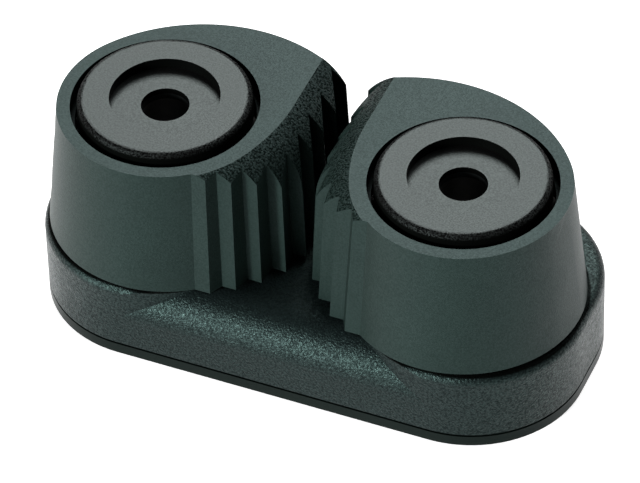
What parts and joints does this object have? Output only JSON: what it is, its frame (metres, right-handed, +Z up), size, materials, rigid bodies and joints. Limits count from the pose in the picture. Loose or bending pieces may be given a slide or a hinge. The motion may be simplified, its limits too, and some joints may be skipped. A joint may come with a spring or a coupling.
{
  "type": "cam cleat",
  "caption": "Ball-bearing cam cleat: two spring-loaded toothed cams on a long rounded base that grip a rope led in from the front.",
  "frame": {"origin": "midway between the two mounting screws, on the mounting face", "axes": "+X through the two hubs, +Y the way the noses point and the cams swing open, +Z up off the deck"},
  "size_m": [0.0684, 0.0332, 0.0296],
  "materials": {
    "base_plastic": "fine spark-eroded texture",
    "cam_plastic": "satin moulded, dark grey-green",
    "cap_plastic": "satin moulded, rounded rim",
    "race_plastic": "smooth acetal",
    "ball_acetal": "polished white acetal",
    "stainless": "drawn stainless steel"
  },
  "bodies": {
    "base": {"base_housing": "base_plastic", "base_plate": "base_plastic", "plate_screws": "stainless", "left_hub_cap": "cap_plastic", "left_hub_stem": "race_plastic", "left_sleeve": "stainless", "left_lower_race": "race_plastic", "left_spring": "stainless", "left_stop_pin": "stainless", "right_hub_cap": "cap_plastic", "right_hub_stem": "race_plastic", "right_sleeve": "stainless", "right_lower_race": "race_plastic", "right_spring": "stainless", "right_stop_pin": "stainless"},
    "left_cam": {"left_cam": "cam_plastic"},
    "right_cam": {"right_cam": "cam_plastic"},
    "left_upper_balls": {"left_upper_balls": "ball_acetal"},
    "left_lower_balls": {"left_lower_balls": "ball_acetal"},
    "right_upper_balls": {"right_upper_balls": "ball_acetal"},
    "right_lower_balls": {"right_lower_balls": "ball_acetal"}
  },
  "joints": [
    {"name": "left_cam_swing", "type": "hinge", "parent": "base", "child": "left_cam", "pos_m": [-0.019, 0, 0.02], "axis": [0, 0, 1], "range_deg": [0, 60], "stiffness_Nm_per_rad": 0.06, "springref_deg": -28.65, "deforming": ["left_spring"]},
    {"name": "right_cam_swing", "type": "hinge", "parent": "base", "child": "right_cam", "pos_m": [0.019, 0, 0.02], "axis": [0, 0, -1], "range_deg": [0, 60], "stiffness_Nm_per_rad": 0.06, "springref_deg": -28.65, "deforming": ["right_spring"]},
    {"name": "left_upper_ball_orbit", "type": "hinge", "parent": "base", "child": "left_upper_balls", "pos_m": [-0.019, 0, 0.02527], "axis": [0, 0, 1], "range_deg": [0, 35.5]},
    {"name": "left_lower_ball_orbit", "type": "hinge", "parent": "base", "child": "left_lower_balls", "pos_m": [-0.019, 0, 0.01383], "axis": [0, 0, 1], "range_deg": [0, 35.5]},
    {"name": "right_upper_ball_orbit", "type": "hinge", "parent": "base", "child": "right_upper_balls", "pos_m": [0.019, 0, 0.02527], "axis": [0, 0, -1], "range_deg": [0, 35.5]},
    {"name": "right_lower_ball_orbit", "type": "hinge", "parent": "base", "child": "right_lower_balls", "pos_m": [0.019, 0, 0.01383], "axis": [0, 0, -1], "range_deg": [0, 35.5]}
  ],
  "couplings": [
    {"joint": "left_upper_ball_orbit", "follows": "left_cam_swing", "ratio": 0.5823},
    {"joint": "left_lower_ball_orbit", "follows": "left_cam_swing", "ratio": 0.5823},
    {"joint": "right_upper_ball_orbit", "follows": "right_cam_swing", "ratio": 0.5823},
    {"joint": "right_lower_ball_orbit", "follows": "right_cam_swing", "ratio": 0.5823}
  ]
}
